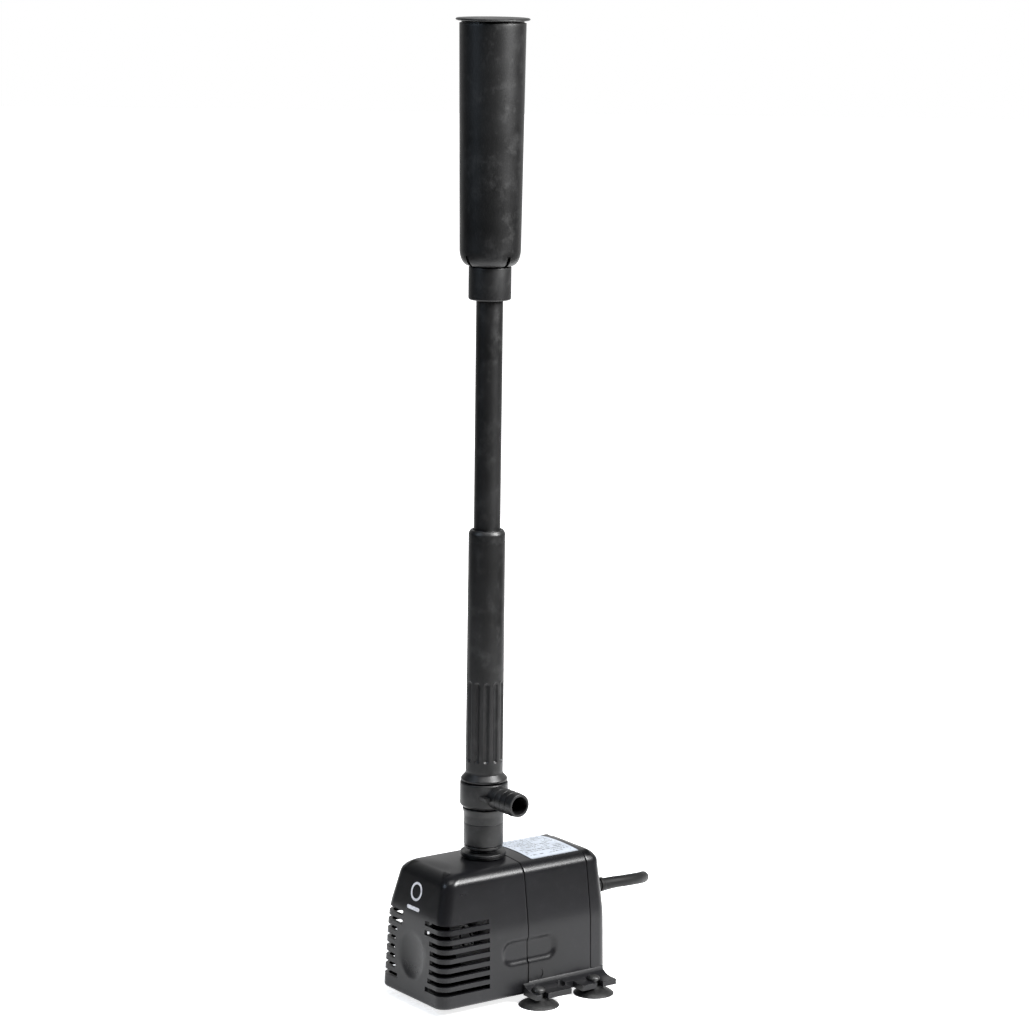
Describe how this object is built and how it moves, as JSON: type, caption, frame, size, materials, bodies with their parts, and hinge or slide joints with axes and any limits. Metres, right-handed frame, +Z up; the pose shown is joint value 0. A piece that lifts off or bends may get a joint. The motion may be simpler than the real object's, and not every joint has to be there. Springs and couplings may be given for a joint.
{
  "type": "submersible fountain pump",
  "caption": "Small submersible fountain pump with slotted intake, suction-cup feet, a side hose outlet, a telescopic riser and a bell nozzle.",
  "frame": {"origin": "middle of the footprint on the floor that the suction cups stand on", "axes": "+Z up along the riser, -Y towards the slotted front cover, +Y towards the cord, +X towards the side hose outlet"},
  "size_m": [0.2009, 0.2027, 0.5913],
  "materials": {
    "casing": "satin black moulded ABS",
    "label": "silver film label",
    "inner_plastic": "black glass-filled plastic",
    "impeller_plastic": "dark grey plastic",
    "magnet": "ground ferrite",
    "shaft_ceramic": "polished ceramic",
    "seal_rubber": "black rubber",
    "lamination_steel": "stacked laminations",
    "bobbin_plastic": "natural nylon",
    "winding_wire": "enamelled copper wire",
    "potting_resin": "cast epoxy",
    "riser_plastic": "black moulded plastic",
    "tube_plastic": "black extruded tube",
    "nozzle_plastic": "black moulded plastic",
    "cup_rubber": "soft black rubber",
    "cord_rubber": "black cable rubber",
    "tie_plastic": "woven nylon strap",
    "plug_rubber": "moulded black rubber",
    "pin_brass": "nickel-plated brass"
  },
  "bodies": {
    "pump": {"motor_housing": "casing", "rear_cover": "casing", "rating_label": "label", "chamber_cover": "inner_plastic", "chamber_seal": "seal_rubber", "rotor_well": "inner_plastic", "rotor_shaft": "shaft_ceramic", "front_bush": "seal_rubber", "rear_bush": "seal_rubber", "stator_core": "lamination_steel", "coil_bobbins": "bobbin_plastic", "stator_windings": "winding_wire", "resin_fill": "potting_resin", "outlet_adapter": "riser_plastic", "outlet_seal": "seal_rubber", "suction_cup_1": "cup_rubber", "suction_cup_2": "cup_rubber", "suction_cup_3": "cup_rubber", "suction_cup_4": "cup_rubber", "cord_gland": "cord_rubber", "power_cord": "cord_rubber", "cord_coil": "cord_rubber", "cord_tail": "cord_rubber", "coil_tie": "tie_plastic", "plug_body": "plug_rubber", "plug_pins": "pin_brass"},
    "intake": {"front_cover": "casing"},
    "rotor": {"impeller": "impeller_plastic", "rotor_magnet": "magnet"},
    "riser": {"valve_body": "riser_plastic", "lower_riser": "riser_plastic", "riser_o_ring": "seal_rubber"},
    "diverter": {"diverter_ring": "riser_plastic"},
    "extension": {"upper_riser": "tube_plastic"},
    "nozzle": {"nozzle_hub": "nozzle_plastic", "jet_tube": "nozzle_plastic", "nozzle_sleeve": "nozzle_plastic"},
    "cap": {"cap_plate": "nozzle_plastic"}
  },
  "joints": [
    {"name": "cover_slide", "type": "slide", "parent": "pump", "child": "intake", "axis": [0, -1, 0], "range_m": [0, 0.07]},
    {"name": "rotor_spin", "type": "hinge", "parent": "pump", "child": "rotor", "pos_m": [0, 0.01, 0.036], "axis": [0, 1, 0], "continuous": true},
    {"name": "riser_swivel", "type": "hinge", "parent": "pump", "child": "riser", "pos_m": [0, -0.0095, 0.1], "axis": [0, 0, 1], "continuous": true},
    {"name": "diverter_turn", "type": "hinge", "parent": "riser", "child": "diverter", "pos_m": [0, -0.0095, 0.1255], "axis": [0, 0, 1], "range_deg": [-90, 90]},
    {"name": "riser_telescope", "type": "slide", "parent": "riser", "child": "extension", "axis": [0, 0, 1], "range_m": [-0.125, 0]},
    {"name": "nozzle_swivel", "type": "hinge", "parent": "extension", "child": "nozzle", "pos_m": [0, -0.0095, 0.43], "axis": [0, 0, 1], "continuous": true},
    {"name": "cap_lift", "type": "slide", "parent": "nozzle", "child": "cap", "axis": [0, 0, 1], "range_m": [0, 0.004]}
  ]
}
